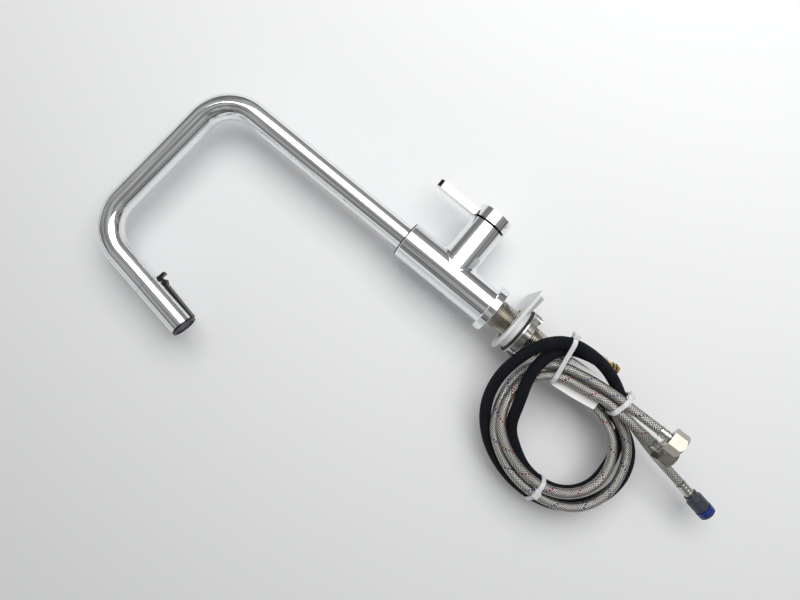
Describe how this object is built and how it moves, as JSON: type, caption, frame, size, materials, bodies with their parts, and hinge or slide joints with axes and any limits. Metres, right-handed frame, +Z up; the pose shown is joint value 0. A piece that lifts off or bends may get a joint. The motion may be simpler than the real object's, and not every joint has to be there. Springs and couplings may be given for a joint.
{
  "type": "pull-out kitchen faucet",
  "caption": "Single-lever kitchen faucet with a square-arc swivel spout, a docked pull-out spray head, a threaded shank with its clamp set, and braided and textile hoses tied in a coil.",
  "frame": {"origin": "centre of the base flange's underside, on the riser's axis", "axes": "+Z up the riser, +X out along the lever's branch, the spout reaches along -X"},
  "size_m": [0.307, 0.0928, 0.6828],
  "materials": {
    "chrome": "polished chrome plate",
    "shank_metal": "fine thread, warm nickel",
    "black_plastic": "satin black",
    "seal_rubber": "matt black",
    "nozzle_rubber": "matt blue-grey",
    "inner_plastic": "moulded",
    "ceramic_disc": "ground",
    "brass": "turned",
    "steel": "bright",
    "washer_steel": "satin",
    "cast_nut": "cast, dull",
    "nickel_nut": "nickel plated",
    "black_textile": "woven, navy black",
    "steel_braid": "woven wire with tracers",
    "white_plastic": "moulded",
    "tie_plastic": "translucent nylon",
    "connector_plastic": "moulded grey",
    "collar_plastic": "moulded blue",
    "tag_card": "coated"
  },
  "bodies": {
    "base": {"base_flange": "chrome", "base_seal": "seal_rubber", "threaded_shank": "shank_metal", "body_casting": "chrome", "spout_seat_ring": "black_plastic", "swivel_bushes": "inner_plastic", "swivel_seals": "seal_rubber", "cartridge_seat": "inner_plastic", "cartridge_body": "inner_plastic", "fixed_disc": "ceramic_disc", "cartridge_nut": "brass", "handle_gap_ring": "black_plastic", "hose_in_body": "black_textile", "spray_hose": "black_textile", "hot_hose": "steel_braid", "cold_hose": "steel_braid", "outlet_hose": "steel_braid", "hose_tails": "brass", "hose_ferrules": "steel", "spray_ferrule": "steel", "spray_stem": "brass", "stem_o_rings": "seal_rubber", "hot_tailpiece": "steel", "cold_tailpiece": "steel", "union_washers": "seal_rubber", "connector_body": "connector_plastic", "tie_top": "tie_plastic", "tie_middle": "tie_plastic", "tie_bottom": "tie_plastic", "hose_tag": "tag_card"},
    "spout": {"spout_tube": "chrome", "dock_liner": "black_plastic", "hose_in_spout": "black_textile"},
    "head": {"head_shell": "chrome", "head_core": "inner_plastic", "check_valve": "inner_plastic", "spray_face": "black_plastic", "nozzle_mat": "nozzle_rubber", "aerator": "inner_plastic", "head_hose_nut": "brass", "hose_in_head": "black_textile", "head_spine": "black_plastic", "rocker_pin": "steel"},
    "rocker": {"rocker": "black_plastic"},
    "mixing": {"stem_carrier": "black_plastic", "moving_disc": "ceramic_disc", "lever_pin": "steel"},
    "lever": {"handle_cap": "chrome", "lever_bar": "chrome", "valve_stem": "steel", "handle_set_screw": "steel"},
    "clamp_set": {"support_plate": "white_plastic", "mounting_gasket": "seal_rubber", "mounting_washer": "washer_steel", "mounting_nut": "cast_nut", "jack_screws": "steel"},
    "hot_nut": {"hot_union_nut": "nickel_nut"},
    "cold_nut": {"cold_union_nut": "nickel_nut"},
    "collar": {"release_collar": "collar_plastic"}
  },
  "joints": [
    {"name": "spout_swivel", "type": "hinge", "parent": "base", "child": "spout", "pos_m": [0, 0, 0.1], "axis": [0, 0, 1], "range_deg": [-180, 180]},
    {"name": "head_pull", "type": "slide", "parent": "spout", "child": "head", "axis": [-0.1478, 0, -0.989], "range_m": [0, 0.04]},
    {"name": "rocker_tilt", "type": "hinge", "parent": "head", "child": "rocker", "pos_m": [-0.19514, 0, 0.28219], "axis": [0, 1, 0], "range_deg": [-4, 4]},
    {"name": "temperature", "type": "hinge", "parent": "base", "child": "mixing", "pos_m": [0.03, 0, 0.06], "axis": [1, 0, 0], "range_deg": [-45, 45]},
    {"name": "flow", "type": "hinge", "parent": "mixing", "child": "lever", "pos_m": [0.068, 0, 0.047], "axis": [0, 1, 0], "range_deg": [0, 16]},
    {"name": "clamp_slide", "type": "slide", "parent": "base", "child": "clamp_set", "axis": [0, 0, 1], "range_m": [0, 0.018]},
    {"name": "hot_nut_spin", "type": "hinge", "parent": "base", "child": "hot_nut", "pos_m": [-0.00352, -0.01893, -0.21557], "axis": [-0.0292, 0.1168, -0.9927], "continuous": true},
    {"name": "cold_nut_spin", "type": "hinge", "parent": "base", "child": "cold_nut", "pos_m": [0.0085, -0.04209, -0.20695], "axis": [0, -0.2873, -0.9578], "continuous": true},
    {"name": "collar_slide", "type": "slide", "parent": "base", "child": "collar", "axis": [0.1446, -0.0482, 0.9883], "range_m": [0, 0.0012], "stiffness_N_per_m": 400}
  ]
}
